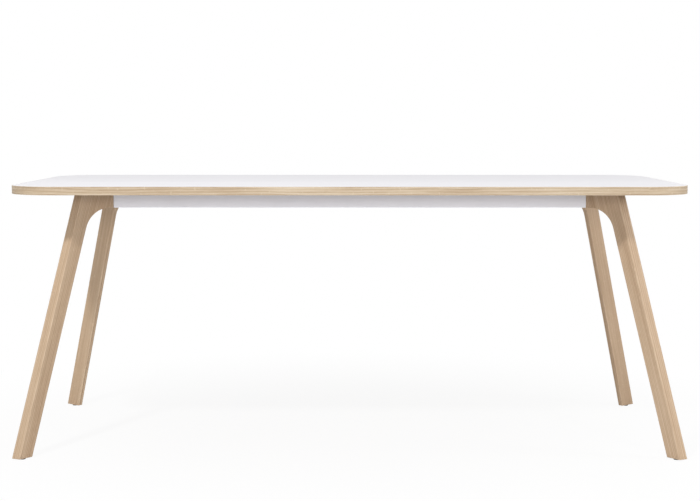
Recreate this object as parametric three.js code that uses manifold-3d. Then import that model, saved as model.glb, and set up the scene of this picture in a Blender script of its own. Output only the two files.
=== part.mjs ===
// Standing-height meeting table. A laminate-faced top with an oak edge lies on a white steel underframe,
// and four splayed oak legs are bolted to brackets at the ends of the underframe's rails.
// Millimetres, +Z up, +X along the table, origin on the floor under the middle of the top.
import * as THREE from 'three';
import { mergeVertices } from 'three/addons/utils/BufferGeometryUtils.js';
import Module from 'manifold-3d';

const wasm = await Module();
wasm.setup();

// Top
const topLength = 2600;
const topDepth = 1200;
const tableHeight = 1050;
const topCornerRadius = 180;
const coreThickness = 30;
const laminateThickness = 1;
const edgeBandThickness = 2;
const edgeBandArris = 1.5;

// Legs: the section is cut level, and its ridge stands on the side that faces out of the table
const footInsetX = 2;
const footInsetY = 50;
const legPlanAngle = THREE.MathUtils.degToRad(39.5);
const legLean = THREE.MathUtils.degToRad(16);
const legWidth = 77;
const legRidgeThickness = 36;
const legRidgeSetback = 15.5;
const armThickness = 22;
const armLength = 120;
const gussetRadius = 105;
const woodArris = 2.5;

// Steel underframe
const railHeight = 60;
const railWidth = 30;
const railWall = 2;
const railBendRadius = 1;
const strapThickness = 5;
const strapWidth = 60;
const strapCount = 3;
const strapToBracket = 20;
const bracketThickness = 5;
const bracketEdgeSetback = 5;
const bracketArmFlange = 130;
const bracketRailFlange = 90;

// Leg bolts and their threaded inserts
const boltDiameter = 8;
const boltHeadDiameter = 14;
const boltHeadHeight = 4.5;
const boltSocketAcross = 5;
const boltSocketDepth = 2.5;
const boltTipSetback = 1.6;
const boltsPerLeg = 2;
const boltToFlangeEnd = 22;
const boltToBend = 38;
const insertWall = 2;
const woodBeyondInsert = 6;

// Screws that hold the top
const screwDiameter = 5;
const screwHeadDiameter = 10;
const screwHeadHeight = 3.5;
const screwPointLength = 4;
const boardBeyondScrew = 11;
const screwsPerStrap = 4;
const screwToRail = 30;

// Levelling glides
const glideDiameter = 24;
const glideHeight = 4;
const glideArris = 1;
const glideFloor = 1.5;
const stemDiameter = 8;
const glideTravel = 12;
const threadLeftAtFullTravel = 16;
const footInsertLength = 25;

// Clearances
const seatGap = 0.3;
const holeClearance = 0.3;
const railEndGap = 0.5;
const cutOvershoot = 40;

// Facets
const cornerSegments = 14;
const arrisSegments = 3;
const gussetSegments = 14;
const headSegments = 3;
const fastenerSides = 12;
const glideSides = 24;

// Heights
const topThickness = coreThickness + 2 * laminateThickness;
const underside = tableHeight - topThickness;
const railTop = underside - strapThickness;
const railBottom = railTop - railHeight;
const legTop = underside - seatGap;
const legBottom = glideHeight + seatGap;
const stemBottom = glideFloor + seatGap;
const stemTop = legBottom + threadLeftAtFullTravel + glideTravel;
const boltZ = railBottom + railHeight / 2;

// Plan of one leg: s runs inward along the plank from its outer edge at floor level, m is the distance
// in front of the plank's flat back face
const leanPerHeight = Math.tan(legLean);
const footX = topLength / 2 - footInsetX;
const footY = topDepth / 2 - footInsetY;
const innerEdgeAt = (z) => legWidth + leanPerHeight * z;
const armEnd = innerEdgeAt(railBottom) + armLength;
const railHalfLength = footX - armEnd * Math.cos(legPlanAngle);
const railInner = footY - armEnd * Math.sin(legPlanAngle);

// Lengths of what passes through several pieces
const legInsertLength = armThickness - woodBeyondInsert;
const boltHeadSeat = bracketThickness + 2 * seatGap;
const boltLength = boltHeadSeat + legInsertLength - boltTipSetback;
const screwLength = strapThickness + laminateThickness + coreThickness - boardBeyondScrew;

const oak = { color: 0xc9a987, roughness: 0.55, metalness: 0 };
const whiteLaminate = { color: 0xededf0, roughness: 0.45, metalness: 0 };
const brownBacking = { color: 0x917a6b, roughness: 0.7, metalness: 0 };
const chipboard = { color: 0xb9a183, roughness: 0.9, metalness: 0 };
const whiteSteel = { color: 0xe6e6ea, roughness: 0.4, metalness: 0 };
const zincSteel = { color: 0xa9abae, roughness: 0.35, metalness: 0.9 };
const blackPlastic = { color: 0x2b2b2d, roughness: 0.6, metalness: 0 };

const table = new THREE.Group();

function addPiece(parent, name, geometry, finish) {
  const mesh = new THREE.Mesh(geometry, new THREE.MeshStandardMaterial({ ...finish, flatShading: true }));
  mesh.name = name;
  parent.add(mesh);
  return mesh;
}

// Closed solid of a geometry, for cutting and joining
function solidOf(geometry) {
  const bare = geometry.clone();
  bare.deleteAttribute('normal');
  bare.deleteAttribute('uv');
  const merged = mergeVertices(bare);
  return new wasm.Manifold(
    new wasm.Mesh({
      numProp: 3,
      vertProperties: new Float32Array(merged.attributes.position.array),
      triVerts: new Uint32Array(merged.index.array),
    }),
  );
}

function geometryOf(solid) {
  const mesh = solid.getMesh();
  const geometry = new THREE.BufferGeometry();
  geometry.setAttribute('position', new THREE.BufferAttribute(mesh.vertProperties, 3));
  geometry.setIndex(new THREE.BufferAttribute(mesh.triVerts, 1));
  return geometry;
}

function cutFrom(geometry, cutters) {
  return geometryOf(cutters.reduce((solid, cutter) => solid.subtract(solidOf(cutter)), solidOf(geometry)));
}

// Polygon with each corner replaced by an arc
function roundedPolygon(corners, radius, segments) {
  return corners.flatMap((corner, index) => {
    const before = corners[(index + corners.length - 1) % corners.length];
    const after = corners[(index + 1) % corners.length];
    const toBefore = before.clone().sub(corner).normalize();
    const toAfter = after.clone().sub(corner).normalize();
    const halfAngle = Math.acos(toBefore.dot(toAfter)) / 2;
    const bisector = toBefore.clone().add(toAfter).normalize();
    const centre = corner.clone().addScaledVector(bisector, radius / Math.sin(halfAngle));
    const start = corner.clone().addScaledVector(toBefore, radius / Math.tan(halfAngle)).sub(centre);
    const finish = corner.clone().addScaledVector(toAfter, radius / Math.tan(halfAngle)).sub(centre);
    const sweep = Math.atan2(start.cross(finish), start.dot(finish));
    return Array.from({ length: segments + 1 }, (_, step) =>
      start.clone().rotateAround(new THREE.Vector2(), (sweep * step) / segments).add(centre),
    );
  });
}

function centroidOf(points) {
  const sum = new THREE.Vector2();
  let doubleArea = 0;
  points.forEach((point, index) => {
    const next = points[(index + 1) % points.length];
    const cross = point.cross(next);
    doubleArea += cross;
    sum.addScaledVector(point.clone().add(next), cross);
  });
  return sum.divideScalar(3 * doubleArea);
}

function roundedRectangle(width, height, radius, segments) {
  const corners = [
    new THREE.Vector2(-width / 2, -height / 2),
    new THREE.Vector2(width / 2, -height / 2),
    new THREE.Vector2(width / 2, height / 2),
    new THREE.Vector2(-width / 2, height / 2),
  ];
  return roundedPolygon(corners, radius, segments);
}

// Outline of the top, drawn in by an inset on every side
function topOutline(inset) {
  const length = topLength - 2 * inset;
  const depth = topDepth - 2 * inset;
  return new THREE.Shape(roundedRectangle(length, depth, topCornerRadius - inset, cornerSegments));
}

// Level plate of an outline, from one height up
function plate(outline, bottom, thickness) {
  const block = new THREE.ExtrudeGeometry(outline, { depth: thickness, bevelEnabled: false });
  return block.translate(0, 0, bottom);
}

// Round bar that stands on the XY plane
function roundBar(diameter, length) {
  return new THREE.CylinderGeometry(diameter / 2, diameter / 2, length, fastenerSides)
    .rotateX(Math.PI / 2)
    .translate(0, 0, length / 2);
}

// Round piece about the Z axis from its half outline, given as radius and height
function turned(outline, sides) {
  const points = outline.map(([radius, height]) => new THREE.Vector2(radius, height));
  return new THREE.LatheGeometry(points, sides).rotateX(Math.PI / 2);
}

// Threaded insert, drawn as a plain sleeve
function sleeve(boreDiameter, length) {
  const inner = boreDiameter / 2;
  const outer = inner + insertWall;
  const outline = [
    [inner, 0],
    [outer, 0],
    [outer, length],
    [inner, length],
    [inner, 0],
  ];
  return turned(outline, fastenerSides);
}

// Half outline of a domed screw head below the XY plane, from its crown out to its rim
function domedHead(diameter, height) {
  return Array.from({ length: headSegments + 1 }, (_, step) => {
    const angle = (Math.PI / 2) * (1 - step / headSegments);
    return [step === 0 ? 0 : (diameter / 2) * Math.cos(angle), -height * Math.sin(angle)];
  });
}

const strapX = Array.from({ length: strapCount }, (_, index) => {
  const reach = railHalfLength - bracketRailFlange - strapToBracket - strapWidth / 2;
  return -reach + (2 * reach * index) / (strapCount - 1);
});
const screwY = Array.from({ length: screwsPerStrap }, (_, index) => {
  const reach = railInner - screwToRail;
  return -reach + (2 * reach * index) / (screwsPerStrap - 1);
});
const screwPlaces = strapX.flatMap((x) => screwY.map((y) => new THREE.Vector2(x, y)));

function screwHoles(bottom, top) {
  const diameter = screwDiameter + 2 * holeClearance;
  return screwPlaces.map((place) => roundBar(diameter, top - bottom).translate(place.x, place.y, bottom));
}

// Top: core, its two laminate faces and the edge band that wraps all three
function addTop() {
  const faceInset = edgeBandThickness + seatGap;
  const coreBottom = underside + laminateThickness;
  const coreTop = coreBottom + coreThickness;
  const screwHoleTop = railTop + screwLength + holeClearance;
  const core = plate(topOutline(faceInset), coreBottom, coreThickness);
  const backing = plate(topOutline(faceInset), underside, laminateThickness);
  addPiece(table, 'top_core', cutFrom(core, screwHoles(coreBottom - cutOvershoot, screwHoleTop)), chipboard);
  addPiece(table, 'top_laminate', plate(topOutline(faceInset), coreTop, laminateThickness), whiteLaminate);
  addPiece(
    table,
    'backing_laminate',
    cutFrom(backing, screwHoles(underside - cutOvershoot, underside + cutOvershoot)),
    brownBacking,
  );
  const bandBlock = new THREE.ExtrudeGeometry(topOutline(0), {
    depth: topThickness - 2 * edgeBandArris,
    bevelThickness: edgeBandArris,
    bevelSize: edgeBandArris,
    bevelOffset: -edgeBandArris,
    bevelSegments: arrisSegments,
  }).translate(0, 0, underside + edgeBandArris);
  const bandInside = plate(
    topOutline(edgeBandThickness),
    underside - cutOvershoot,
    topThickness + 2 * cutOvershoot,
  );
  addPiece(table, 'edge_band', cutFrom(bandBlock, [bandInside]), oak);
}

// Underframe: two tube rails, straps across them, and the screws up into the top
function addUnderframe() {
  const outside = roundedRectangle(railWidth, railHeight, railBendRadius + railWall, arrisSegments);
  const inside = roundedRectangle(
    railWidth - 2 * railWall,
    railHeight - 2 * railWall,
    railBendRadius,
    arrisSegments,
  );
  const tube = new THREE.Shape(outside);
  tube.holes.push(new THREE.Path(inside));
  const railLength = 2 * (railHalfLength - railEndGap);
  for (const [name, side] of [['front', -1], ['rear', 1]]) {
    const rail = new THREE.ExtrudeGeometry(tube, { depth: railLength, bevelEnabled: false })
      .translate(0, 0, -railLength / 2)
      .rotateX(Math.PI / 2)
      .rotateZ(Math.PI / 2)
      .translate(0, side * (railInner + railWidth / 2), railBottom + railHeight / 2);
    addPiece(table, `rail_${name}`, rail, whiteSteel);
  }
  const strapLength = 2 * (railInner + railWidth);
  const throughStraps = screwHoles(railTop - cutOvershoot, underside + cutOvershoot);
  strapX.forEach((x, index) => {
    const strap = new THREE.BoxGeometry(strapWidth, strapLength, strapThickness);
    strap.translate(x, 0, railTop + strapThickness / 2);
    addPiece(table, `strap_${index + 1}`, cutFrom(strap, throughStraps), whiteSteel);
  });
  const shank = screwDiameter / 2;
  const screwOutline = [
    ...domedHead(screwHeadDiameter, screwHeadHeight),
    [shank, 0],
    [shank, screwLength - screwPointLength],
    [0, screwLength],
  ];
  const screw = turned(screwOutline, fastenerSides);
  screwPlaces.forEach((place, index) => {
    const placed = addPiece(table, `top_screw_${index + 1}`, screw.clone(), zincSteel);
    placed.position.set(place.x, place.y, railTop);
  });
}

// Level section of the leg: outer back edge, ridge, inner front edge, inner back edge
const legSection = [
  new THREE.Vector2(0, 0),
  new THREE.Vector2(legRidgeSetback, legRidgeThickness),
  new THREE.Vector2(legWidth, armThickness),
  new THREE.Vector2(legWidth, 0),
];
const sectionCentre = centroidOf(legSection);
const glideS = sectionCentre.x + leanPerHeight * legBottom;
const glideM = sectionCentre.y;
const boltS = Array.from({ length: boltsPerLeg }, (_, index) => {
  const spread = bracketArmFlange - boltToFlangeEnd - boltToBend;
  return armEnd - boltToBend - (spread * index) / (boltsPerLeg - 1);
});

// One leg in its own place: x along the plank, y across it, with the ridge on the side that hand gives
function legGeometry(hand) {
  const side = (point) => new THREE.Vector2(point.x, hand * point.y);
  const prism = new THREE.ExtrudeGeometry(
    new THREE.Shape(roundedPolygon(legSection.map(side), woodArris, arrisSegments)),
    { depth: legTop + 2 * cutOvershoot, bevelEnabled: false },
  )
    .translate(0, 0, -cutOvershoot)
    .applyMatrix4(new THREE.Matrix4().makeShear(0, 0, 0, 0, leanPerHeight, 0));

  // Arm and gusset: the arc touches the leg's inner edge and the arm's underside
  const airAngle = Math.PI / 2 + legLean;
  const reach = gussetRadius / Math.tan(airAngle / 2);
  const arcCentre = new THREE.Vector2(innerEdgeAt(railBottom) + reach, railBottom - gussetRadius);
  const arcEnd = Math.PI - legLean;
  const buried = legWidth / 2;
  const profile = new THREE.Shape();
  const arcFootZ = arcCentre.y + gussetRadius * Math.sin(arcEnd);
  profile.moveTo(innerEdgeAt(arcFootZ) - buried, arcFootZ);
  profile.lineTo(innerEdgeAt(legTop) - buried, legTop + cutOvershoot);
  profile.lineTo(armEnd + cutOvershoot, legTop + cutOvershoot);
  profile.lineTo(armEnd + cutOvershoot, railBottom);
  for (let step = 0; step <= gussetSegments; step += 1) {
    const angle = Math.PI / 2 + ((arcEnd - Math.PI / 2) * step) / gussetSegments;
    profile.lineTo(
      arcCentre.x + gussetRadius * Math.cos(angle),
      arcCentre.y + gussetRadius * Math.sin(angle),
    );
  }
  profile.closePath();
  const arm = new THREE.ExtrudeGeometry(profile, {
    depth: armThickness - 2 * woodArris,
    bevelThickness: woodArris,
    bevelSize: woodArris,
    bevelOffset: -woodArris,
    bevelSegments: arrisSegments,
  })
    .translate(0, 0, woodArris)
    .rotateX(Math.PI / 2)
    .translate(0, hand > 0 ? armThickness : 0, 0);

  const reachPast = topLength;
  const waste = new THREE.BoxGeometry(reachPast, reachPast, reachPast);
  const aboveTop = waste.clone().translate(0, 0, legTop + reachPast / 2);
  const belowFoot = waste.clone().translate(0, 0, legBottom - reachPast / 2);
  const pastArm = waste
    .clone()
    .translate(reachPast / 2, 0, 0)
    .rotateZ(hand * legPlanAngle)
    .translate(armEnd, 0, 0);
  const insertBore = boltDiameter + 2 * (holeClearance + insertWall + seatGap);
  const boltBores = boltS.map((s) =>
    roundBar(insertBore, legInsertLength + seatGap + cutOvershoot)
      .translate(0, 0, -cutOvershoot)
      .rotateX((-hand * Math.PI) / 2)
      .translate(s, 0, boltZ),
  );
  const footBoreDiameter = stemDiameter + 2 * (holeClearance + insertWall + seatGap);
  const footBore = roundBar(footBoreDiameter, legBottom + footInsertLength + seatGap);
  const stemBore = roundBar(stemDiameter + 2 * holeClearance, stemTop + seatGap);
  const whole = solidOf(prism).add(solidOf(arm));
  const cutters = [
    aboveTop,
    belowFoot,
    pastArm,
    ...boltBores,
    footBore.translate(glideS, hand * glideM, 0),
    stemBore.translate(glideS, hand * glideM, 0),
  ];
  return geometryOf(cutters.reduce((solid, cutter) => solid.subtract(solidOf(cutter)), whole));
}

// Bent bracket: one flange lies on the back of the arm, the other on the inner face of the rail
function bracketGeometry(hand) {
  const alongRail = new THREE.Vector2(Math.cos(legPlanAngle), Math.sin(legPlanAngle));
  const offRail = new THREE.Vector2(alongRail.y, -alongRail.x);
  const bend = new THREE.Vector2(armEnd, 0);
  const flangeEnd = bend.clone().addScaledVector(alongRail, bracketRailFlange);
  const edgeAt = (distance) => ({
    armSide: new THREE.Vector2(armEnd - bracketArmFlange, -distance),
    corner: new THREE.Vector2(distance * Math.tan(legPlanAngle / 2), -distance).add(bend),
    railSide: flangeEnd.clone().addScaledVector(offRail, distance),
  });
  const near = edgeAt(seatGap);
  const far = edgeAt(seatGap + bracketThickness);
  const outline = [near.armSide, near.corner, near.railSide, far.railSide, far.corner, far.armSide];
  const shape = new THREE.Shape(outline.map((point) => new THREE.Vector2(point.x, hand * point.y)));
  const bracket = plate(shape, railBottom + bracketEdgeSetback, railHeight - 2 * bracketEdgeSetback);
  const holes = boltS.map((s) =>
    roundBar(boltDiameter + 2 * holeClearance, 2 * cutOvershoot)
      .translate(0, 0, -cutOvershoot)
      .rotateX(Math.PI / 2)
      .translate(s, 0, boltZ),
  );
  return cutFrom(bracket, holes);
}

// Button-head bolt along +Z, its head below the XY plane
function boltGeometry() {
  const shank = boltDiameter / 2;
  const outline = [
    ...domedHead(boltHeadDiameter, boltHeadHeight),
    [shank, 0],
    [shank, boltLength],
    [0, boltLength],
  ];
  const bolt = turned(outline, fastenerSides);
  const socketRadius = boltSocketAcross / Math.sqrt(3);
  const socket = new THREE.CylinderGeometry(socketRadius, socketRadius, 2 * boltSocketDepth, 6)
    .rotateX(Math.PI / 2)
    .translate(0, 0, -boltHeadHeight);
  return cutFrom(bolt, [socket]);
}

// Glide pad with a blind hole for its stem
function glidePadGeometry() {
  const outer = glideDiameter / 2;
  const bore = stemDiameter / 2 + holeClearance;
  const outline = [
    [0, 0],
    [outer - glideArris, 0],
    [outer, glideArris],
    [outer, glideHeight],
    [bore, glideHeight],
    [bore, glideFloor],
    [0, glideFloor],
  ];
  return turned(outline, glideSides);
}

// A leg with everything that is fastened to it, turned to its corner of the table
function addLeg(name, sideX, sideY) {
  const hand = -sideX * sideY;
  const corner = new THREE.Group();
  corner.position.set(sideX * footX, sideY * footY, 0);
  corner.rotation.z = Math.atan2(-sideY * Math.sin(legPlanAngle), -sideX * Math.cos(legPlanAngle));
  table.add(corner);
  addPiece(corner, `leg_${name}`, legGeometry(hand), oak);
  addPiece(corner, `bracket_${name}`, bracketGeometry(hand), whiteSteel);
  const intoArm = (-hand * Math.PI) / 2;
  boltS.forEach((s, index) => {
    const bolt = addPiece(corner, `leg_bolt_${name}_${index + 1}`, boltGeometry(), zincSteel);
    bolt.position.set(s, -hand * boltHeadSeat, boltZ);
    bolt.rotation.x = intoArm;
    const sleeveInArm = sleeve(boltDiameter + 2 * holeClearance, legInsertLength);
    const insert = addPiece(corner, `leg_insert_${name}_${index + 1}`, sleeveInArm, zincSteel);
    insert.position.set(s, 0, boltZ);
    insert.rotation.x = intoArm;
  });
  const foot = new THREE.Group();
  foot.position.set(glideS, hand * glideM, 0);
  corner.add(foot);
  const sleeveInFoot = sleeve(stemDiameter + 2 * holeClearance, footInsertLength);
  const stem = roundBar(stemDiameter, stemTop - stemBottom);
  addPiece(foot, `foot_insert_${name}`, sleeveInFoot, zincSteel).position.z = legBottom;
  addPiece(foot, `glide_stem_${name}`, stem, zincSteel).position.z = stemBottom;
  addPiece(foot, `glide_pad_${name}`, glidePadGeometry(), blackPlastic);
}

addTop();
addUnderframe();
addLeg('front_left', -1, -1);
addLeg('front_right', 1, -1);
addLeg('rear_left', -1, 1);
addLeg('rear_right', 1, 1);

export default table;
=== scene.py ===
import math

import bmesh
import bpy
import numpy as np
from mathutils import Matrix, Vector


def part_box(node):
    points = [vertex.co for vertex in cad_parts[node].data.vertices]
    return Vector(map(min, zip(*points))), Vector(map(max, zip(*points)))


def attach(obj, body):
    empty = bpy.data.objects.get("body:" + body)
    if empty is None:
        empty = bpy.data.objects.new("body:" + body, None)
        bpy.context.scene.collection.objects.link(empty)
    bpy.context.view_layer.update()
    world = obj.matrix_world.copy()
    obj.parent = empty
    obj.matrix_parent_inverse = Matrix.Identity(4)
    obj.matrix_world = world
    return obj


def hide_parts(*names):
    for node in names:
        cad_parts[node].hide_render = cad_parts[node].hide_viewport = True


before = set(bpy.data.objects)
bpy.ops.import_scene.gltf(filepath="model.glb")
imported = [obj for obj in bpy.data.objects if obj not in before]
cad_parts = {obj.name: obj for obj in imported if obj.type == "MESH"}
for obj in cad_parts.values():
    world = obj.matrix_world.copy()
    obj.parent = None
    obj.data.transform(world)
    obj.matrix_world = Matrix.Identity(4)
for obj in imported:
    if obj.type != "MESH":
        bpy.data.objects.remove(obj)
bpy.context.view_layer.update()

print("frame loaded:", len(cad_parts), "nodes")

# left/right and front/rear of each leg, as signs along X and Y
corners = {
    "front_left": (-1, -1),
    "front_right": (1, -1),
    "rear_left": (-1, 1),
    "rear_right": (1, 1),
}


class Wire:
    # one node socket, so that shader maths reads as plain arithmetic
    def __init__(self, tree, socket):
        self.tree = tree
        self.socket = socket

    def maths(self, operation, left, right=0.0):
        return self.tree.add("ShaderNodeMath", {"operation": operation}, {0: left, 1: right})

    def __add__(self, other):
        return self.maths("ADD", self, other)

    def __radd__(self, other):
        return self.maths("ADD", other, self)

    def __sub__(self, other):
        return self.maths("SUBTRACT", self, other)

    def __rsub__(self, other):
        return self.maths("SUBTRACT", other, self)

    def __mul__(self, other):
        return self.maths("MULTIPLY", self, other)

    def __rmul__(self, other):
        return self.maths("MULTIPLY", other, self)

    def __pow__(self, other):
        return self.maths("POWER", self, other)

    def fraction(self):
        return self.maths("FRACT", self)

    def between(self, low, high):
        # smooth 0 to 1 as the value goes from low to high
        settings = {"interpolation_type": "SMOOTHSTEP", "clamp": True}
        return self.tree.add("ShaderNodeMapRange", settings, {0: self, 1: low, 2: high, 3: 0.0, 4: 1.0})


class Tree:
    # a node tree that is written as expressions
    def __init__(self, nodeTree):
        self.nodes = nodeTree.nodes
        self.links = nodeTree.links
        self.nodes.clear()

    def add(self, kind, settings=None, values=None, output=0):
        node = self.nodes.new(kind)
        for key, value in (settings or {}).items():
            if key == "stops":
                self.setStops(node.color_ramp, value)
            else:
                setattr(node, key, value)
        for key, value in (values or {}).items():
            if isinstance(value, Wire):
                self.links.new(value.socket, node.inputs[key])
            else:
                node.inputs[key].default_value = value
        return Wire(self, node.outputs[output]) if len(node.outputs) else node

    def setStops(self, ramp, stops):
        while len(ramp.elements) < len(stops):
            ramp.elements.new(1.0)
        for element, (position, colour) in zip(ramp.elements, stops):
            element.position = position
            element.color = (*colour, 1.0)

    def mix(self, factor, first, second, how="MIX"):
        settings = {"data_type": "RGBA", "blend_type": how, "clamp_factor": True}
        first, second = [(*c, 1.0) if isinstance(c, tuple) else c for c in (first, second)]
        return self.add("ShaderNodeMix", settings, {0: factor, 6: first, 7: second}, 2)

    def stretch(self, vector, scales):
        return self.add("ShaderNodeVectorMath", {"operation": "MULTIPLY"}, {0: vector, 1: scales})

    def noise(self, vector, scales, detail, roughness):
        values = {"Vector": self.stretch(vector, scales), "Scale": 1.0}
        values.update({"Detail": detail, "Roughness": roughness})
        return self.add("ShaderNodeTexNoise", {}, values)

    def bump(self, height, finish):
        values = {"Strength": finish["bumpStrength"], "Distance": finish["bumpDistance"]}
        return self.add("ShaderNodeBump", {}, {"Height": height, **values})

    def split(self, vector, axis):
        return self.add("ShaderNodeSeparateXYZ", {}, {0: vector}, axis)

    def ownPlace(self):
        return self.add("ShaderNodeTexCoord", {}, {}, "Object")

    def attribute(self, name, output):
        return self.add("ShaderNodeAttribute", {"attribute_name": name}, {}, output)


def newFinish(name):
    material = bpy.data.materials.new(name)
    material.use_nodes = True
    return material, Tree(material.node_tree)


def shadeWith(tree, values):
    shader = tree.add("ShaderNodeBsdfPrincipled", {}, values)
    tree.add("ShaderNodeOutputMaterial", {}, {"Surface": shader})


# In the finishes below, each noise is its scales per metre, its detail and its roughness.
# Light oak under a matt lacquer: its scales go across the grain, through the board and along the grain.
oak = {
    "stops": [(0.0, (0.360, 0.234, 0.142)), (0.45, (0.509, 0.369, 0.245)), (1.0, (0.633, 0.493, 0.358))],
    "legToneRange": (0.25, 0.85),
    "bandToneRange": (0.29, 0.80),
    "bandTint": (0.894, 0.964, 1.0),
    "bandAcross": 0.6,
    "bandAlong": 2.0,
    "ringsPerMetre": 150.0,
    "ringSlant": 0.45,
    "ringWander": 3.0,
    "wander": ((11.0, 11.0, 0.8), 3.0, 0.5),
    "lateWoodPower": 2.5,
    "lateWoodShare": 0.20,
    "streaks": ((170.0, 170.0, 2.4), 4.0, 0.6),
    "streakShare": 0.52,
    "fibres": ((1400.0, 1400.0, 22.0), 3.0, 0.65),
    "fibreShare": 0.28,
    "slowChange": ((7.0, 7.0, 0.7), 2.0, 0.5),
    "slowShare": 0.36,
    "pore": (0.260, 0.159, 0.087),
    "pores": ((2300.0, 2300.0, 60.0), 2.0, 0.5),
    "poreRange": (0.60, 0.72),
    "poreDepth": 0.45,
    "earlyWoodPores": 0.35,
    "rays": ((90.0, 900.0, 45.0), 1.0, 0.5),
    "rayRange": (0.66, 0.74),
    "rayShare": 0.25,
    # pale oak for the rays; on the arrises this paleness is partly wear and partly a painted highlight
    "paleRayWearAndHighlight": (0.751, 0.607, 0.443),
    "wearAndHighlightPatches": ((60.0, 60.0, 9.0), 3.0, 0.5),
    "wearAndHighlightRange": (0.30, 0.70),
    "wearAndHighlightShare": 0.35,
    "roughness": 0.52,
    "fibreRoughness": 0.16,
    "poreRoughness": 0.10,
    "wornPolish": 0.08,
    "specular": 0.35,
    "fibreHeight": 0.35,
    "poreHeight": 0.8,
    "streakHeight": 0.25,
    "bumpStrength": 0.35,
    "bumpDistance": 0.0004,
}


# Tone is streaks, fibres and slow change added up, less the late wood, which is a power of the yearly
# ring's fraction. Pores crowd in the late wood. Rays are paler. The rounded arrises are paler too: partly
# wear, and partly a painted highlight where the edges catch the light.
def paintOak(tree, place, wear, toneRange, tint):
    across, through = tree.split(place, 0), tree.split(place, 1)
    wander = tree.noise(place, *oak["wander"])
    ring = (across + oak["ringSlant"] * through) * oak["ringsPerMetre"] + oak["ringWander"] * wander
    lateWood = ring.fraction() ** oak["lateWoodPower"]
    streaks = tree.noise(place, *oak["streaks"])
    fibres = tree.noise(place, *oak["fibres"])
    slow = tree.noise(place, *oak["slowChange"])
    tone = oak["streakShare"] * streaks + oak["fibreShare"] * fibres
    tone = tone + oak["slowShare"] * slow - oak["lateWoodShare"] * lateWood
    base = tree.add("ShaderNodeValToRGB", {"stops": oak["stops"]}, {0: tone.between(*toneRange)})
    crowding = oak["earlyWoodPores"] + (1 - oak["earlyWoodPores"]) * lateWood
    pores = tree.noise(place, *oak["pores"]).between(*oak["poreRange"]) * crowding
    rays = tree.noise(place, *oak["rays"]).between(*oak["rayRange"])
    wearAndHighlight = wear * tree.noise(place, *oak["wearAndHighlightPatches"]).between(*oak["wearAndHighlightRange"])
    colour = tree.mix(pores * oak["poreDepth"], base, oak["pore"])
    colour = tree.mix(rays * oak["rayShare"], colour, oak["paleRayWearAndHighlight"])
    # painted highlight: the arris mask lightens the rounded edges, partly as wear and partly as the light
    # they catch
    colour = tree.mix(wearAndHighlight * oak["wearAndHighlightShare"], colour, oak["paleRayWearAndHighlight"])
    colour = tree.mix(1.0, colour, tint, "MULTIPLY")
    rough = oak["roughness"] + oak["fibreRoughness"] * (fibres - 0.5)
    rough = rough + oak["poreRoughness"] * pores - oak["wornPolish"] * wearAndHighlight
    height = oak["fibreHeight"] * fibres - oak["poreHeight"] * pores + oak["streakHeight"] * streaks
    return {
        "Base Color": colour,
        "Roughness": rough,
        "Normal": tree.bump(height, oak),
        "Specular IOR Level": oak["specular"],
    }


def makeLegOak():
    material, tree = newFinish("oakLeg")
    place, wear = tree.attribute("grainPlace", "Vector"), tree.attribute("wear", "Fac")
    # per-leg tint: the oak's tone, with painted light on the rear left leg and painted shade on the rear
    # right leg
    plankTint = tree.attribute("plankTint", "Vector")
    shadeWith(tree, paintOak(tree, place, wear, oak["legToneRange"], plankTint))
    return material


def makeBandOak():
    material, tree = newFinish("oakEdge")
    uv = tree.add("ShaderNodeUVMap", {"uv_map": "grain"})
    across = oak["bandAcross"] * tree.split(uv, 1)
    along = oak["bandAlong"] * tree.split(uv, 0)
    place = tree.add("ShaderNodeCombineXYZ", {}, {0: across, 1: 0.0, 2: along})
    wear = tree.attribute("wear", "Fac")
    shadeWith(tree, paintOak(tree, place, wear, oak["bandToneRange"], oak["bandTint"]))
    return material


laminate = {
    "colour": (0.922, 0.913, 0.944),
    "smudge": (0.880, 0.871, 0.903),
    "smudgeShare": 0.30,
    "wiped": ((2.2, 5.5, 3.0), 4.0, 0.6),
    "wipedRange": (0.45, 0.80),
    "pebble": ((1500.0, 1500.0, 1500.0), 2.0, 0.6),
    "roughness": 0.72,
    "wipedRoughness": 0.14,
    "pebbleRoughness": 0.10,
    "specular": 0.4,
    "bumpStrength": 0.12,
    "bumpDistance": 0.0001,
}


def makeLaminate():
    material, tree = newFinish("whiteLaminate")
    place = tree.ownPlace()
    pebble = tree.noise(place, *laminate["pebble"])
    wiped = tree.noise(place, *laminate["wiped"])
    smudges = laminate["smudgeShare"] * wiped.between(*laminate["wipedRange"])
    rough = laminate["roughness"] + laminate["wipedRoughness"] * (wiped - 0.5)
    values = {
        "Base Color": tree.mix(smudges, laminate["colour"], laminate["smudge"]),
        "Roughness": rough + laminate["pebbleRoughness"] * (pebble - 0.5),
        "Normal": tree.bump(pebble, laminate),
        "Specular IOR Level": laminate["specular"],
    }
    shadeWith(tree, values)
    return material


# The underside's balancing sheet. Its dark brown is chosen to cut the light bounced onto the upper legs and
# rails: a dark sheet that stands in for shade there.
backingDarkForShade = {
    "colour": (0.275, 0.188, 0.135),
    "fibre": (0.365, 0.265, 0.195),
    "fibres": ((420.0, 2600.0, 900.0), 3.0, 0.6),
    "fibreRange": (0.46, 0.74),
    "fibreShare": 0.6,
    "sanding": ((7.0, 3200.0, 1.0), 2.0, 0.5),
    "sandingRange": (0.40, 0.75),
    "sandingShare": 0.3,
    "cloud": ((9.0, 9.0, 9.0), 3.0, 0.5),
    "cloudShare": 0.3,
    "roughness": 0.70,
    "fibreRoughness": 0.15,
    "cloudRoughness": 0.12,
    "bumpStrength": 0.2,
    "bumpDistance": 0.0001,
}


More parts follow.
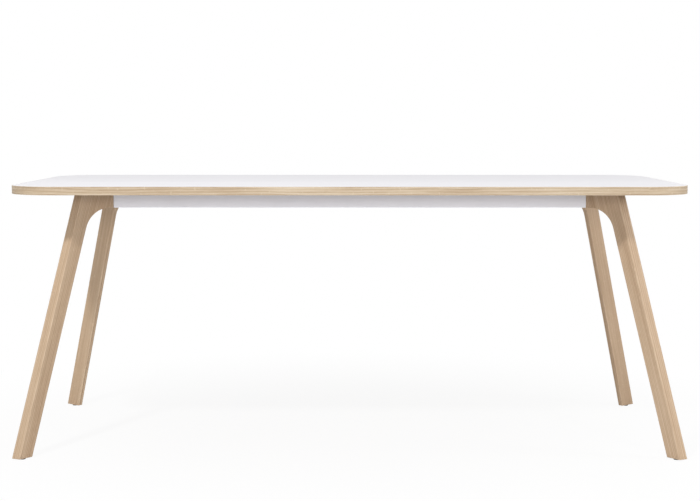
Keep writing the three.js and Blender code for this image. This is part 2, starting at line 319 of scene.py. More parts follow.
def makeBackingDarkForShade():
    material, tree = newFinish("backingDarkForShade")
    place = tree.ownPlace()
    fibres = tree.noise(place, *backingDarkForShade["fibres"])
    sanding = tree.noise(place, *backingDarkForShade["sanding"])
    cloud = tree.noise(place, *backingDarkForShade["cloud"])
    share = backingDarkForShade["fibreShare"] * fibres.between(*backingDarkForShade["fibreRange"])
    share = share + backingDarkForShade["sandingShare"] * sanding.between(*backingDarkForShade["sandingRange"])
    share = share + backingDarkForShade["cloudShare"] * (cloud - 0.5)
    colour = tree.mix(share, backingDarkForShade["colour"], backingDarkForShade["fibre"])
    rough = backingDarkForShade["roughness"] + backingDarkForShade["fibreRoughness"] * (fibres - 0.5)
    rough = rough + backingDarkForShade["cloudRoughness"] * (cloud - 0.5)
    normal = tree.bump(fibres + sanding, backingDarkForShade)
    shadeWith(tree, {"Base Color": colour, "Roughness": rough, "Normal": normal})
    return material


powderCoat = {
    "colour": (0.824, 0.830, 0.883),
    "dust": (0.755, 0.760, 0.808),
    "dustRange": (0.45, 0.75),
    "dustShare": 0.35,
    "cloud": ((6.0, 6.0, 6.0), 3.0, 0.5),
    "peel": ((700.0, 700.0, 700.0), 2.0, 0.45),
    "roughness": 0.38,
    "cloudRoughness": 0.12,
    "peelRoughness": 0.12,
    "bumpStrength": 0.25,
    "bumpDistance": 0.00015,
}


def makePowderCoat():
    material, tree = newFinish("whitePowderCoat")
    place = tree.ownPlace()
    peel = tree.noise(place, *powderCoat["peel"])
    cloud = tree.noise(place, *powderCoat["cloud"])
    dusty = powderCoat["dustShare"] * cloud.between(*powderCoat["dustRange"])
    colour = tree.mix(dusty, powderCoat["colour"], powderCoat["dust"])
    rough = powderCoat["roughness"] + powderCoat["cloudRoughness"] * (cloud - 0.5)
    rough = rough + powderCoat["peelRoughness"] * (peel - 0.5)
    shadeWith(tree, {"Base Color": colour, "Roughness": rough, "Normal": tree.bump(peel, powderCoat)})
    return material


zinc = {
    "bright": (0.66, 0.67, 0.69),
    "dull": (0.46, 0.46, 0.47),
    "bloom": ((260.0, 260.0, 260.0), 4.0, 0.6),
    "dullRange": (0.35, 0.75),
    "grit": ((2400.0, 2400.0, 2400.0), 2.0, 0.5),
    "roughness": 0.30,
    "roughRange": (0.30, 0.80),
    "bloomRoughness": 0.25,
    "gritRoughness": 0.10,
    "bumpStrength": 0.15,
    "bumpDistance": 0.00005,
}


def makeZinc():
    material, tree = newFinish("zincPlate")
    place = tree.ownPlace()
    bloom = tree.noise(place, *zinc["bloom"])
    grit = tree.noise(place, *zinc["grit"])
    colour = tree.mix(bloom.between(*zinc["dullRange"]), zinc["bright"], zinc["dull"])
    rough = zinc["roughness"] + zinc["bloomRoughness"] * bloom.between(*zinc["roughRange"])
    rough = rough + zinc["gritRoughness"] * (grit - 0.5)
    normal = tree.bump(grit, zinc)
    shadeWith(tree, {"Base Color": colour, "Metallic": 1.0, "Roughness": rough, "Normal": normal})
    return material


padPlastic = {
    "colour": (0.020, 0.020, 0.022),
    "scuff": (0.085, 0.082, 0.080),
    "scuffs": ((180.0, 180.0, 420.0), 4.0, 0.65),
    "scuffRange": (0.52, 0.74),
    "scuffShare": 0.6,
    "moulded": ((3000.0, 3000.0, 3000.0), 1.0, 0.5),
    "roughness": 0.55,
    "scuffRoughness": 0.20,
    "mouldedRoughness": 0.12,
    "bumpStrength": 0.2,
    "bumpDistance": 0.00008,
}


def makePadPlastic():
    material, tree = newFinish("blackPlastic")
    place = tree.ownPlace()
    scuffs = tree.noise(place, *padPlastic["scuffs"]).between(*padPlastic["scuffRange"])
    moulded = tree.noise(place, *padPlastic["moulded"])
    colour = tree.mix(scuffs * padPlastic["scuffShare"], padPlastic["colour"], padPlastic["scuff"])
    rough = padPlastic["roughness"] + padPlastic["scuffRoughness"] * scuffs
    rough = rough + padPlastic["mouldedRoughness"] * (moulded - 0.5)
    shadeWith(tree, {"Base Color": colour, "Roughness": rough, "Normal": tree.bump(moulded, padPlastic)})
    return material


chipboard = {
    "stops": [(0.0, (0.30, 0.19, 0.10)), (0.5, (0.50, 0.36, 0.22)), (1.0, (0.66, 0.52, 0.36))],
    "flakesPerMetre": (260.0, 260.0, 780.0),
    "flakeShare": 0.7,
    "dust": ((1900.0, 1900.0, 1900.0), 3.0, 0.7),
    "dustShare": 0.3,
    "roughness": 0.75,
    "dustRoughness": 0.2,
    "bumpStrength": 0.4,
    "bumpDistance": 0.0003,
}


def makeChipboard():
    material, tree = newFinish("chipboard")
    place = tree.ownPlace()
    flakePlace = tree.stretch(place, chipboard["flakesPerMetre"])
    cells = tree.add("ShaderNodeTexVoronoi", {}, {"Vector": flakePlace, "Scale": 1.0}, "Color")
    flakes = tree.split(cells, 0)
    dust = tree.noise(place, *chipboard["dust"])
    tone = chipboard["flakeShare"] * flakes + chipboard["dustShare"] * dust
    colour = tree.add("ShaderNodeValToRGB", {"stops": chipboard["stops"]}, {0: tone})
    rough = chipboard["roughness"] + chipboard["dustRoughness"] * (dust - 0.5)
    normal = tree.bump(flakes + dust, chipboard)
    shadeWith(tree, {"Base Color": colour, "Roughness": rough, "Normal": normal})
    return material


finishes = {
    "oakLeg": makeLegOak(),
    "oakEdge": makeBandOak(),
    "laminate": makeLaminate(),
    "backingDarkForShade": makeBackingDarkForShade(),
    "powderCoat": makePowderCoat(),
    "zinc": makeZinc(),
    "padPlastic": makePadPlastic(),
    "chipboard": makeChipboard(),
}
print("finishes mixed:", len(finishes))


meshing = {"mergeWithin": 1e-6, "sharpAngle": math.radians(35.0)}


def unit(vectors):
    return vectors / np.linalg.norm(vectors, axis=-1, keepdims=True)


# A grid of points becomes quads: each point is joined to the next in its row and in its column.
# The last column joins the first, and with wrapRows the last row joins the first.
# A row drawn in to one point closes an end.
def pieceFromGrid(name, grid, wrapRows=False, points=None, cornersUv=None):
    rows, columns = grid.shape[:2]
    index = np.arange(rows * columns).reshape(rows, columns)
    if wrapRows:
        index = np.vstack([index, index[:1]])
    here, above = index[:-1], index[1:]
    quads = np.stack([here, np.roll(here, -1, 1), np.roll(above, -1, 1), above], axis=-1)
    mesh = bpy.data.meshes.new(name)
    mesh.from_pydata(grid.reshape(-1, 3).tolist(), [], quads.reshape(-1, 4).tolist())
    for key, values in (points or {}).items():
        kind, field = ("FLOAT_VECTOR", "vector") if values.ndim == 3 else ("FLOAT", "value")
        layer = mesh.attributes.new(key, kind, "POINT")
        layer.data.foreach_set(field, values.astype(np.float32).ravel())
    for key, (rowRun, columnRun) in (cornersUv or {}).items():
        run = np.stack(np.meshgrid(rowRun, columnRun, indexing="ij"), axis=-1)
        perQuad = np.stack([run[:-1, :-1], run[:-1, 1:], run[1:, 1:], run[1:, :-1]], axis=2)
        mesh.uv_layers.new(name=key).data.foreach_set("uv", perQuad.astype(np.float32).ravel())
    work = bmesh.new()
    work.from_mesh(mesh)
    bmesh.ops.remove_doubles(work, verts=work.verts, dist=meshing["mergeWithin"])
    bmesh.ops.recalc_face_normals(work, faces=work.faces)
    work.to_mesh(mesh)
    work.free()
    mesh.shade_smooth()
    mesh.set_sharp_from_angle(angle=meshing["sharpAngle"])
    piece = bpy.data.objects.new(name, mesh)
    bpy.context.scene.collection.objects.link(piece)
    return piece


def dress(piece, finish, slot, body, *nodes):
    piece.data.materials.append(finishes[finish])
    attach(piece, body)
    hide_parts(*nodes)


def dressNode(node, finish):
    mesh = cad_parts[node].data
    mesh.materials.clear()
    mesh.materials.append(finishes[finish])


# Each corner of a closed section becomes an arc of the given radius that touches both of its sides, with
# one plain point further along each side. Returns the points and a mask that is 1 on the arc.
def roundCorner(before, corner, after, radius, steps, guard):
    toBefore, toAfter = unit(before - corner), unit(after - corner)
    half = np.arccos(np.clip(np.sum(toBefore * toAfter, -1, keepdims=True), -1, 1)) / 2
    setback = radius / np.tan(half)
    centre = corner + unit(toBefore + toAfter) * radius / np.sin(half)
    start, finish = corner + toBefore * setback, corner + toAfter * setback
    sweep = (np.pi - 2 * half)[:, None, :]
    share = np.linspace(0, 1, steps + 1)[None, :, None]
    fromStart = np.sin((1 - share) * sweep) * (start - centre)[:, None]
    toFinish = np.sin(share * sweep) * (finish - centre)[:, None]
    arc = centre[:, None] + (fromStart + toFinish) / np.sin(sweep)
    before = (start + toBefore * guard)[:, None]
    after = (finish + toAfter * guard)[:, None]
    mask = np.ones((len(corner), steps + 3))
    mask[:, [0, -1]] = 0
    return np.concatenate([before, arc, after], axis=1), mask


# Rounded rectangle about the origin: four quarter arcs, whose ends the straight sides join.
# Returns its points and, at each, the direction out of it.
def roundedOutline(length, depth, radius, steps):
    turn = (np.arange(4) * np.pi / 2 - np.pi / 2)[:, None] + np.linspace(0, np.pi / 2, steps + 1)
    outward = np.stack([np.cos(turn), np.sin(turn)], axis=-1)
    signs = np.array([[1, -1], [1, 1], [-1, 1], [-1, -1]])
    centres = signs * (np.array([length, depth]) / 2 - radius)
    points = centres[:, None] + radius * outward
    return points.reshape(-1, 2), outward.reshape(-1, 2)


tableTop = {
    "cornerRadius": 0.180,
    "cornerSteps": 48,
    "bandThickness": 0.002,
    "bandArris": 0.0015,
    "arrisSteps": 6,
    "arrisGuard": 0.0004,
    "sheetThickness": 0.001,
    "glueLine": 0.00005,
}
bandLow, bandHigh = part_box("edge_band")
topLength = bandHigh.x - bandLow.x
topDepth = bandHigh.y - bandLow.y


# The band's section, a thin upright strip with two round outer arrises, is carried round the top's outline:
# every section point keeps its own distance in from the outline and its own height.
def makeEdgeBand():
    thick, low, high = tableTop["bandThickness"], bandLow.z, bandHigh.z
    arris = (tableTop["bandArris"], tableTop["arrisSteps"], tableTop["arrisGuard"])
    corner = np.array([[0.0, low], [0.0, high], [thick, high], [thick, low]])
    lower, lowerMask = roundCorner(corner[3:4], corner[0:1], corner[1:2], *arris)
    upper, upperMask = roundCorner(corner[0:1], corner[1:2], corner[2:3], *arris)
    section = np.concatenate([lower[0], upper[0], corner[2:4]])
    mask = np.concatenate([lowerMask[0], upperMask[0], np.zeros(2)])
    line, outward = roundedOutline(topLength, topDepth, tableTop["cornerRadius"], tableTop["cornerSteps"])
    flat = line[:, None] - outward[:, None] * section[None, :, :1]
    height = np.broadcast_to(section[None, :, 1:], (*flat.shape[:2], 1))
    grid = np.concatenate([flat, height], axis=-1)
    loop = np.vstack([line, line[:1]])
    rowRun = np.concatenate([[0], np.cumsum(np.linalg.norm(np.diff(loop, axis=0), axis=1))])
    ring = np.vstack([section, section[:1]])
    columnRun = np.concatenate([[0], np.cumsum(np.linalg.norm(np.diff(ring, axis=0), axis=1))])
    piece = pieceFromGrid(
        "oakEdgeBand",
        grid,
        wrapRows=True,
        # the arris mask marks the band's two rounded arrises, painted paler: partly wear, partly painted
        # highlight
        points={"wear": np.broadcast_to(mask, flat.shape[:2])},
        cornersUv={"grain": (rowRun, columnRun)},
    )
    dress(piece, "oakEdge", "oak", "table", "edge_band")


# A laminate sheet: the top's outline at two heights, each drawn in to a point at the middle.
def makeSheet(name, node, finish, slot, low):
    inset = tableTop["bandThickness"] + tableTop["glueLine"]
    radius, steps = tableTop["cornerRadius"] - inset, tableTop["cornerSteps"]
    line, _ = roundedOutline(topLength - 2 * inset, topDepth - 2 * inset, radius, steps)
    rim = np.concatenate([line, np.zeros((len(line), 1))], axis=1)
    middle = np.zeros_like(rim)
    up = np.array([0.0, 0.0, 1.0])
    high = low + tableTop["sheetThickness"]
    grid = np.stack([middle + up * high, rim + up * high, rim + up * low, middle + up * low])
    dress(pieceFromGrid(name, grid), finish, slot, "table", node)


makeEdgeBand()
makeSheet("topSheet", "top_laminate", "laminate", "white_laminate", bandHigh.z - tableTop["sheetThickness"])
# the underside sheet's dark brown stands in for shade on the upper legs and rails
makeSheet("backingSheet", "backing_laminate", "backingDarkForShade", "brown_backing", bandLow.z)
dressNode("top_core", "chipboard")
print("top made")

leg = {
    "footInsetX": 0.002,
    "footInsetY": 0.050,
    "planAngle": math.radians(39.5),
    "lean": math.radians(16.0),
    "width": 0.077,
    "ridgeThickness": 0.036,
    "ridgeSetback": 0.0155,
    "armThickness": 0.022,
    "armLength": 0.120,
    "gussetRadius": 0.105,
    "arris": 0.0025,
    "arrisSteps": 5,
    "arrisGuard": 0.003,
    "creaseGuard": 0.002,
    "facetSteps": 10,
    "footChamfer": 0.0008,
    "lowRows": 40,
    "arcRows": 40,
    "armRows": 8,
    "endRows": 12,
    "insertBore": 0.0066,
    "insertDepth": 0.0253,
    "stemBore": 0.0043,
    "stemDepth": 0.0288,
    "grainShift": 1.37,
    # the oak's tone on each leg: the front legs share it; the rear left leg's lighter tint is painted light
    # and the rear right leg's darker tint is painted shade
    "plankTint": {
        "front_left": (0.948, 0.948, 0.948),
        "front_right": (0.948, 0.948, 0.948),
        "rear_left": (1.043, 1.033, 1.014),
        "rear_right": (0.939, 0.915, 0.896),
    },
}
legLow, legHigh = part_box("leg_front_left")
railLow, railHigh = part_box("rail_front")
leanPerHeight = math.tan(leg["lean"])
footX = topLength / 2 - leg["footInsetX"]
footY = topDepth / 2 - leg["footInsetY"]
armEnd = leg["width"] + leanPerHeight * railLow.z + leg["armLength"]


# Local place on a leg: along the plank from its outer edge, out from its flat back, and up.
# The plank's plan angle turns it to the table, and the corner's signs mirror it.
def toTable(local, sideX, sideY):
    along, out, up = local[..., 0], local[..., 1], local[..., 2]
    cosine, sine = math.cos(leg["planAngle"]), math.sin(leg["planAngle"])
    x = sideX * (footX - along * cosine - out * sine)
    y = sideY * (footY - along * sine + out * cosine)
    return np.stack([x, y, up], axis=-1)


# The leg is a closed section carried up the plank. Each section runs from the straight outer edge to the
# inner edge, which goes up the plank, round the gusset's arc, along the arm's underside and up its end.
# Its front rises from the outer edge to the ridge, falls to the crease at the arm's thickness and stays
# there. Evenly spaced points fill each flat side between its corners.
def legRows():
    lean = leanPerHeight
    width, thin, radius = leg["width"], leg["armThickness"], leg["gussetRadius"]
    reach = radius / math.tan((math.pi / 2 + leg["lean"]) / 2)
    arcAlong = width + lean * railLow.z + reach
    arcUp = railLow.z - radius
    turn = np.linspace(math.pi - leg["lean"], math.pi / 2, leg["arcRows"] + 1)
    arc = np.stack([arcAlong + radius * np.cos(turn), arcUp + radius * np.sin(turn)], axis=-1)
    lowUp = np.linspace(legLow.z + leg["footChamfer"], arc[0, 1], leg["lowRows"], endpoint=False)
    low = np.stack([width + lean * lowUp, lowUp], axis=-1)
    share = np.linspace(0, 1, leg["armRows"] + 1)[1:]
    endUp = np.linspace(railLow.z, legHigh.z, leg["endRows"] + 1)[1:]

    def innerEdge(out):
        end = armEnd - out * math.tan(leg["planAngle"])
        under = np.stack([arcAlong + share * (end - arcAlong), np.full_like(share, railLow.z)], axis=-1)
        rise = np.stack([np.full_like(endUp, end), endUp], axis=-1)
        edge = np.concatenate([low, arc, under, rise])
        return np.stack([edge[:, 0], np.full(len(edge), out), edge[:, 1]], axis=-1)

    front, back = innerEdge(thin), innerEdge(0.0)
    rowsAbove = len(front) - len(low)
    outerUp = np.concatenate([lowUp, np.linspace(arc[0, 1], legHigh.z, rowsAbove)])
    outer = np.stack([lean * outerUp, np.zeros_like(outerUp), outerUp], axis=-1)
    span = (front[:, 0] - lean * front[:, 2])[:, None]

    def onFront(across, out):
        point = outer + (front - outer) * across / span
        point[:, 1] = np.broadcast_to(out, (len(point), 1))[:, 0]
        return point

    ridge = onFront(leg["ridgeSetback"], leg["ridgeThickness"])
    fall = (leg["ridgeThickness"] - thin) / (width - leg["ridgeSetback"])
    creaseAcross = np.minimum(width, span - 2 * leg["arris"])
    crease = onFront(creaseAcross, leg["ridgeThickness"] - fall * (creaseAcross - leg["ridgeSetback"]))
    arris = (leg["arris"], leg["arrisSteps"], leg["arrisGuard"])
    beforeCrease = crease + unit(ridge - crease) * leg["creaseGuard"]
    afterCrease = crease + unit(front - crease) * leg["creaseGuard"]
    bend = np.stack([beforeCrease, crease, afterCrease], axis=1)
    runs = [
        roundCorner(back, outer, ridge, *arris),
        roundCorner(outer, ridge, crease, *arris),
        (bend, np.zeros(bend.shape[:2])),
        roundCorner(crease, front, back, leg["arris"], leg["arrisSteps"], 0.0),
        roundCorner(front, back, outer, *arris),
    ]
    between = np.linspace(0, 1, leg["facetSteps"] + 2)[1:-1, None]
    section, mask = [], []
    for (points, wear), (following, _) in zip(runs, runs[1:] + runs[:1]):
        flat = points[:, -1:] + (following[:, :1] - points[:, -1:]) * between
        section += [points, flat]
        mask += [wear, np.zeros(flat.shape[:2])]
    middle = crease[-1] * [1.0, 0.5, 1.0]
    return np.concatenate(section, axis=1), np.concatenate(mask, axis=1), middle


# Below the lowest section the foot closes: a chamfer, the flat sole, the insert's bore, the stem's bore and
# its end. Each ring's points lie in the same directions from the bore's axis as the section's.
# The top closes to a point halfway through the arm at the crease.
def makeLeg(name, sideX, sideY, shift):
    section, mask, middle = legRows()
    padLow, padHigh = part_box("glide_pad_" + name)
    axisX, axisY = (padLow.x + padHigh.x) / 2, (padLow.y + padHigh.y) / 2
    rows = toTable(section, sideX, sideY)
    axis = np.array([axisX, axisY, 0.0])
    away = unit((rows[0] - axis) * [1, 1, 0])
    sole = rows[0] - away * leg["footChamfer"]
    sole[:, 2] = legLow.z

    def ring(radius, up):
        return axis + away * radius + np.array([0.0, 0.0, up])

    insertTop = legLow.z + leg["insertDepth"]
    stemTop = legLow.z + leg["stemDepth"]
    closing = [
        ring(0.0, stemTop),
        ring(leg["stemBore"], stemTop),
        ring(leg["stemBore"], insertTop),
        ring(leg["insertBore"], insertTop),
        ring(leg["insertBore"], legLow.z),
        sole,
    ]
    crown = np.broadcast_to(toTable(middle, sideX, sideY), rows[-1].shape)
    grid = np.concatenate([np.stack(closing), rows, crown[None]])
    # the arris mask along the leg's rounded edges, painted paler: partly wear, partly painted highlight
    wear = np.concatenate([np.zeros((len(closing) - 1, rows.shape[1])), mask[:1], mask, mask[-1:]])
    flip = np.array([sideX, sideY, 1.0])
    fromFoot = np.array([footX, footY, 0.0]) - grid * flip
    cosine, sine = math.cos(leg["planAngle"]), math.sin(leg["planAngle"])
    along = fromFoot[..., 0] * cosine + fromFoot[..., 1] * sine
    out = fromFoot[..., 0] * sine - fromFoot[..., 1] * cosine
    up = grid[..., 2]
    grain = np.stack([along - leanPerHeight * up, out, up / math.cos(leg["lean"]) + shift], axis=-1)
    # painted light and shade: the rear legs' tints lighten the rear left and darken the rear right
    plankTint = np.broadcast_to(leg["plankTint"][name], grid.shape)
    attributes = {"grainPlace": grain, "wear": wear, "plankTint": plankTint}
    piece = pieceFromGrid("oakLeg_" + name, grid, points=attributes)
    dress(piece, "oakLeg", "oak", "table", "leg_" + name)


for number, (name, (sideX, sideY)) in enumerate(corners.items()):
    makeLeg(name, sideX, sideY, number * leg["grainShift"])
print("legs made")

rail = {"wall": 0.002, "bend": 0.001, "bendSteps": 8}


# A steel tube: the outline of its outside and of its bore at both ends, joined into one closed skin.
def makeRail(name):
    low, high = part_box("rail_" + name)
    wide, tall = high.y - low.y, high.z - low.z
    wall, bend, steps = rail["wall"], rail["bend"], rail["bendSteps"]
    outside, _ = roundedOutline(wide, tall, bend + wall, steps)
    bore, _ = roundedOutline(wide - 2 * wall, tall - 2 * wall, bend, steps)
    centre = (low + high) / 2

    def ringAt(outline, x):
        y, z = outline[:, 0] + centre.y, outline[:, 1] + centre.z
        return np.stack([np.full(len(outline), x), y, z], axis=-1)

    rings = [ringAt(outside, low.x), ringAt(outside, high.x), ringAt(bore, high.x), ringAt(bore, low.x)]
    piece = pieceFromGrid("steelRail_" + name, np.stack(rings), wrapRows=True)
    dress(piece, "powderCoat", "white_steel", "table", "rail_" + name)


for name in ("front", "rear"):
    makeRail(name)

bracket = {
    "thickness": 0.005,
    "edgeSetback": 0.005,
    "armFlange": 0.130,
    "railFlange": 0.090,
    "seatGap": 0.0003,
    "bendRadius": 0.006,
    "bendSteps": 10,
    "arris": 0.0008,
    "arrisSteps": 3,
}


# A flat bar bent once: its upright section follows a path along the arm, round the bend and along the rail.
def makeBracket(name, sideX, sideY):
    cosine, sine = math.cos(leg["planAngle"]), math.sin(leg["planAngle"])
    half = bracket["thickness"] / 2
    away = bracket["seatGap"] + half
    start = np.array([[armEnd - bracket["armFlange"], -away]])
    bend = np.array([[armEnd + away * math.tan(leg["planAngle"] / 2), -away]])
    reach = bracket["railFlange"]
    finish = np.array([[armEnd + reach * cosine + away * sine, reach * sine - away * cosine]])
    curve, _ = roundCorner(start, bend, finish, bracket["bendRadius"] + half, bracket["bendSteps"], 0.0)
    path = np.concatenate([start, curve[0, 1:-1], finish])
    heading = unit(np.gradient(path, axis=0))
    side = np.stack([-heading[:, 1], heading[:, 0]], axis=-1)
    low = railLow.z + bracket["edgeSetback"]
    high = railHigh.z - bracket["edgeSetback"]
    outline, _ = roundedOutline(2 * half, high - low, bracket["arris"], bracket["arrisSteps"])
    plan = path[:, None] + side[:, None] * outline[None, :, :1]
    height = np.broadcast_to(outline[None, :, 1:] + (low + high) / 2, (*plan.shape[:2], 1))
    body = toTable(np.concatenate([plan, height], axis=-1), sideX, sideY)
    ends = [np.broadcast_to(row.mean(axis=0), row.shape)[None] for row in (body[0], body[-1])]
    piece = pieceFromGrid("legBracket_" + name, np.concatenate([ends[0], body, ends[1]]))
    dress(piece, "powderCoat", "white_steel", "table", "bracket_" + name)


for name, (sideX, sideY) in corners.items():
    makeBracket(name, sideX, sideY)
for node in ("strap_1", "strap_2", "strap_3"):
    dressNode(node, "powderCoat")
print("underframe made")


# A fastener about its axis, as radius and distance along: the recess floor, its wall, the domed head, the
# shank and the tip. The recess's edge is a radius that changes with the angle. On the shank, a groove that
# climbs one pitch in each turn takes up to the thread's depth off the radius.
def fastenerGrid(shape, recessEdge):
    turn = np.linspace(0, 2 * np.pi, shape["sides"], endpoint=False)
    edge = recessEdge(turn)
    around = np.ones_like(turn)
    headRadius, headHeight = shape["headRadius"], shape["headHeight"]

    def domeAt(radius):
        return -headHeight * np.sqrt(np.clip(1 - (radius / headRadius) ** 2, 0, 1))

    floor = -headHeight + shape["recessDepth"]
    share = np.sin(np.linspace(0, np.pi / 2, shape["headSteps"] + 1))[:, None]
    crown = edge + (headRadius - edge) * share
    radii = [0 * around, edge, *crown, shape["radius"] * around]
    along = [floor * around, floor * around, *domeAt(crown), 0 * around]
    run = np.linspace(0, shape["length"], shape["threadSteps"] + 1)[1:]
    lift = np.abs(2 * ((run[:, None] / shape["pitch"] - turn / (2 * np.pi)) % 1) - 1)
    grow = np.clip(run / shape["pitch"], 0, 1)[:, None]
    thread = shape["radius"] - shape["threadDepth"] * grow * (1 - lift)
    taper = np.clip((shape["length"] - run) / shape["tipLength"], 0, 1)[:, None]
    tipRadius = shape["tipRadius"]
    radii += [*(tipRadius + (thread - tipRadius) * taper), 0 * around]
    along += [*(run[:, None] * around), shape["length"] * around]
    return np.stack(radii), np.stack(along), turn


bolt = {
    "radius": 0.004,
    "length": 0.020,
    "headRadius": 0.007,
    "headHeight": 0.0045,
    "recessDepth": 0.0025,
    "socketAcross": 0.005,
    "pitch": 0.00125,
    "threadDepth": 0.0006,
    "tipLength": 0.001,
    "tipRadius": 0.0032,
    "sides": 48,
    "headSteps": 8,
    "threadSteps": 128,
    "perLeg": 2,
    "toBend": 0.038,
    "toFlangeEnd": 0.022,
}


# Hexagon socket: half its width over the cosine of the angle from the middle of the nearest side.
def hexagonEdge(turn):
    return bolt["socketAcross"] / 2 / np.cos((turn + np.pi / 6) % (np.pi / 3) - np.pi / 6)


def makeBolts(name, sideX, sideY):
    radius, along, turn = fastenerGrid(bolt, hexagonEdge)
    seat = bracket["thickness"] + 2 * bracket["seatGap"]
    spread = bracket["armFlange"] - bolt["toBend"] - bolt["toFlangeEnd"]
    height = (railLow.z + railHigh.z) / 2
    for number in range(bolt["perLeg"]):
        place = armEnd - bolt["toBend"] - spread * number / (bolt["perLeg"] - 1)
        onPlank, up = place + radius * np.cos(turn), height + radius * np.sin(turn)
        local = np.stack([onPlank, along - seat, up], axis=-1)
        label = f"{name}_{number + 1}"
        piece = pieceFromGrid("buttonBolt_" + label, toTable(local, sideX, sideY))
        dress(piece, "zinc", "zinc_steel", "table", "leg_bolt_" + label)
        dressNode("leg_insert_" + label, "zinc")


for name, (sideX, sideY) in corners.items():
    makeBolts(name, sideX, sideY)

screw = {
    "radius": 0.0025,
    "length": 0.025,
    "headRadius": 0.005,
    "headHeight": 0.0035,
    "recessDepth": 0.0016,
    "lobes": 6,
    "lobeRadius": 0.0019,
    "lobeDepth": 0.0003,
    "pitch": 0.0022,
    "threadDepth": 0.0008,
    "tipLength": 0.004,
    "tipRadius": 0.0002,
    "sides": 36,
    "headSteps": 7,
    "threadSteps": 90,
    "count": 12,
}


# Lobed recess: a circle whose radius swings out once for each lobe.
def lobedEdge(turn):
    return screw["lobeRadius"] + screw["lobeDepth"] * np.cos(screw["lobes"] * turn)


def makeScrews():
    radius, along, turn = fastenerGrid(screw, lobedEdge)
    for number in range(1, screw["count"] + 1):
        node = f"top_screw_{number}"
        low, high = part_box(node)
        seat = low.z + screw["headHeight"]
        x, y = (low.x + high.x) / 2, (low.y + high.y) / 2
        grid = np.stack([x + radius * np.cos(turn), y + radius * np.sin(turn), seat + along], axis=-1)
        piece = pieceFromGrid(f"topScrew_{number}", grid)
        dress(piece, "zinc", "zinc_steel", "table", node)


makeScrews()
print("fasteners made")

glide = {
    "padArris": 0.0010,
    "padArrisSteps": 6,
    "padSides": 72,
    "stemBore": 0.0043,
    "boreFloor": 0.0015,
    "stemPitch": 0.00125,
    "stemThreadDepth": 0.0006,
    "stemSides": 40,
    "stemSteps": 200,
}


# The pad is its half section turned about the stem's axis: flat sole, round arrises, rim, top and the
# stem's hole.
def makePad(name):
    low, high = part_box("glide_pad_" + name)
    radius = max(high.x - low.x, high.y - low.y) / 2
    arris = glide["padArris"]
    swing = np.linspace(-np.pi / 2, 0, glide["padArrisSteps"] + 1)
    lower = np.stack([radius - arris + arris * np.cos(swing), arris + arris * np.sin(swing)], axis=-1)
    upper = np.stack([lower[::-1, 0], high.z - lower[::-1, 1]], axis=-1)
    bore, floor = glide["stemBore"], glide["boreFloor"]
    inside = np.array([[bore, high.z], [bore, floor], [0.0, floor]])
    profile = np.concatenate([[[0.0, 0.0]], lower, upper, inside])
    turn = np.linspace(0, 2 * np.pi, glide["padSides"], endpoint=False)
    x, y = (low.x + high.x) / 2, (low.y + high.y) / 2
    ring = profile[:, :1]
    up = np.broadcast_to(profile[:, 1:], (len(profile), len(turn)))
    grid = np.stack([x + ring * np.cos(turn), y + ring * np.sin(turn), low.z + up], axis=-1)
    piece = pieceFromGrid("glidePad_" + name, grid)
    dress(piece, "padPlastic", "black_plastic", "glide_" + name, "glide_pad_" + name)


# The stem is a rod whose radius falls from the crest to the root and back once in each pitch, on a helix.
def makeStem(name):
    low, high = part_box("glide_stem_" + name)
    crest = max(high.x - low.x, high.y - low.y) / 2
    turn = np.linspace(0, 2 * np.pi, glide["stemSides"], endpoint=False)
    up = np.linspace(low.z, high.z, glide["stemSteps"] + 1)[:, None]
    lift = np.abs(2 * ((up / glide["stemPitch"] - turn / (2 * np.pi)) % 1) - 1)
    radius = crest - glide["stemThreadDepth"] * (1 - lift)
    radius = np.vstack([0 * turn, radius, 0 * turn])
    up = np.broadcast_to(np.vstack([up[:1], up, up[-1:]]), radius.shape)
    x, y = (low.x + high.x) / 2, (low.y + high.y) / 2
    grid = np.stack([x + radius * np.cos(turn), y + radius * np.sin(turn), up], axis=-1)
    piece = pieceFromGrid("glideStem_" + name, grid)
    dress(piece, "zinc", "zinc_steel", "glide_" + name, "glide_stem_" + name)


for name in corners:
    makePad(name)
    makeStem(name)
    dressNode("foot_insert_" + name, "zinc")
print("glides made")

studio = {
    "floorHalf": 40.0,
    "floorColour": (0.88, 0.88, 0.88),
    "glowNear": 0.88,
    "glowFar": 1.0,
    "glowFrom": 0.5,
    "glowTo": 2.3,
    "skyLight": 0.51,
    "lamps": {
        "left": {"place": (-2.3, -4.95, 5.2), "size": (0.5, 0.5), "power": 208.0},
        "right": {"place": (2.3, -4.95, 5.2), "size": (0.5, 0.5), "power": 33.0},
        "side": {"place": (3.6, -1.0, 1.6), "size": (0.8, 0.8), "power": 25.0},
        "front": {"place": (0.35, -6.0, 1.85), "size": (6.4, 0.8), "power": 104.0},
    },
    "aim": (0.0, 0.0, 0.75),
}


# 1 for rays that should see plain white instead of what the lamps give: seen, mirrored or let through
def seenRays(tree):
    rays = tree.add("ShaderNodeLightPath", {}, {}, "Is Camera Ray")
    outputs = rays.socket.node.outputs
    seen = rays + Wire(tree, outputs["Is Glossy Ray"]) + Wire(tree, outputs["Is Transmission Ray"])
    return seen.between(0.0, 1.0)


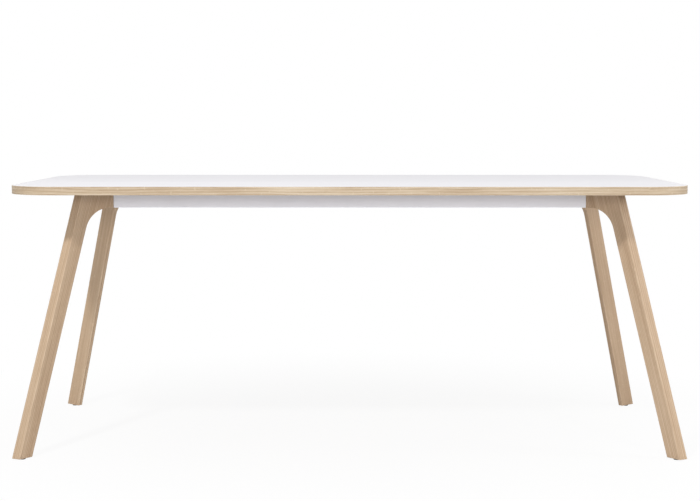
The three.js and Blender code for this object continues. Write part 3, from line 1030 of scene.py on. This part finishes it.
def makeFloor():
    half = studio["floorHalf"]
    mesh = bpy.data.meshes.new("studioFloor")
    square = [(-half, -half, 0), (half, -half, 0), (half, half, 0), (-half, half, 0)]
    mesh.from_pydata(square, [], [(0, 1, 2, 3)])
    floor = bpy.data.objects.new("studioFloor", mesh)
    bpy.context.scene.collection.objects.link(floor)
    material, tree = newFinish("studioFloor")
    painted = tree.add("ShaderNodeBsdfDiffuse", {}, {"Color": (*studio["floorColour"], 1.0)})
    glow = tree.add("ShaderNodeEmission", {}, {"Color": (1.0, 1.0, 1.0, 1.0), "Strength": 1.0})
    away = tree.add("ShaderNodeVectorMath", {"operation": "LENGTH"}, {0: tree.ownPlace()}, "Value")
    rise = away.between(studio["glowFrom"], studio["glowTo"]) * (studio["glowFar"] - studio["glowNear"])
    share = seenRays(tree) * (studio["glowNear"] + rise)
    both = tree.add("ShaderNodeMixShader", {}, {0: share, 1: painted, 2: glow})
    tree.add("ShaderNodeOutputMaterial", {}, {"Surface": both})
    mesh.materials.append(material)


def makeSky():
    world = bpy.data.worlds.new("studioSky")
    world.use_nodes = True
    bpy.context.scene.world = world
    tree = Tree(world.node_tree)
    seen = seenRays(tree)
    strength = seen + (1 - seen) * studio["skyLight"]
    sky = tree.add("ShaderNodeBackground", {}, {"Color": (1.0, 1.0, 1.0, 1.0), "Strength": strength})
    tree.add("ShaderNodeOutputWorld", {}, {"Surface": sky})


def makeLamps():
    for name, lamp in studio["lamps"].items():
        data = bpy.data.lights.new(name, "AREA")
        data.shape = "RECTANGLE"
        data.size, data.size_y = lamp["size"]
        data.energy = lamp["power"]
        light = bpy.data.objects.new(name, data)
        light.location = lamp["place"]
        light.rotation_euler = (Vector(studio["aim"]) - light.location).to_track_quat("-Z", "Y").to_euler()
        bpy.context.scene.collection.objects.link(light)


makeFloor()
makeSky()
makeLamps()
print("studio lit")

camera = {
    "place": (0.0193, -6.0628, 1.2976),
    "tiltDown": math.radians(5.0885),
    "turnLeft": math.radians(0.177),
    "lens": 75.18,
    "sensor": 36.0,
    "clipEnd": 100.0,
}


def makeCamera():
    data = bpy.data.cameras.new("photoCamera")
    data.lens = camera["lens"]
    data.sensor_width = camera["sensor"]
    data.clip_end = camera["clipEnd"]
    view = bpy.data.objects.new("photoCamera", data)
    view.location = camera["place"]
    view.rotation_euler = (math.pi / 2 - camera["tiltDown"], 0.0, camera["turnLeft"])
    bpy.context.scene.collection.objects.link(view)
    bpy.context.scene.camera = view


makeCamera()
bpy.context.scene.view_settings.view_transform = "Standard"
print("camera set")
